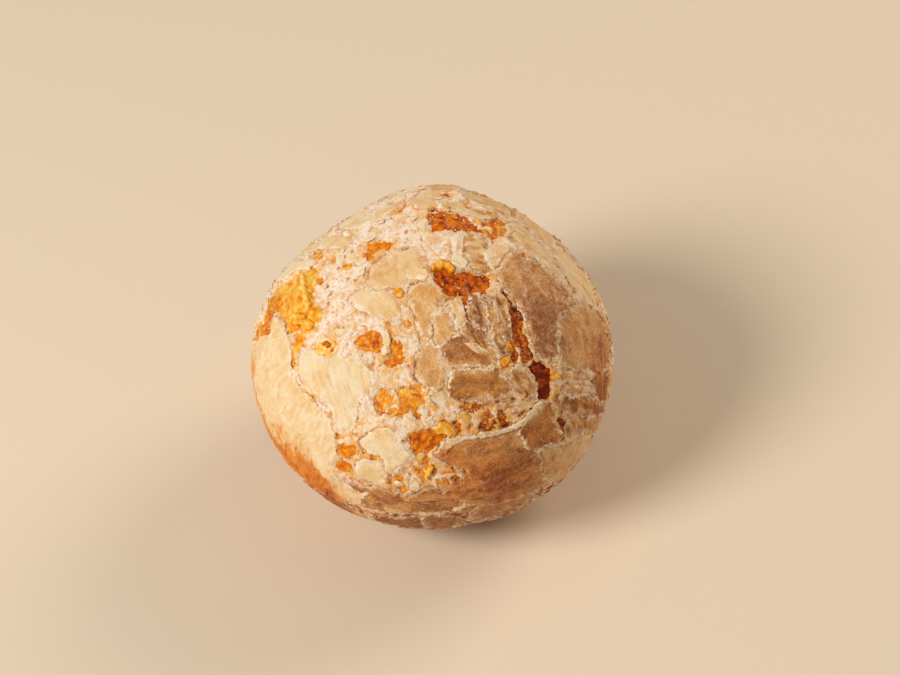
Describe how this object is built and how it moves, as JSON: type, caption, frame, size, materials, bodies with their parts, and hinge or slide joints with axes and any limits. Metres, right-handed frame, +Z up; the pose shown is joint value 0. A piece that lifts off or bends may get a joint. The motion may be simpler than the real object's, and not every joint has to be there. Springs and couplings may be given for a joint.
{
  "type": "pao de queijo cheese bread ball",
  "caption": "Baked cheese bread ball with a cracked, flaky pale crust, chalky crumb and toasted cheese pockets, resting on a small flat base.",
  "frame": {"origin": "on the surface that the ball rests on, under the middle of its box, within the flat base", "axes": "+Z up, +X to the right and +Y away from the side that shows best"},
  "size_m": [0.0704, 0.0686, 0.0606],
  "materials": {
    "crust": "dry baked skin, matte, cream to tan",
    "crumb": "chalky starch crumb, rough",
    "toasted_cheese": "melted and toasted cheese, glossy amber"
  },
  "bodies": {
    "root": {"cheese_ball": "crust"}
  },
  "joints": []
}
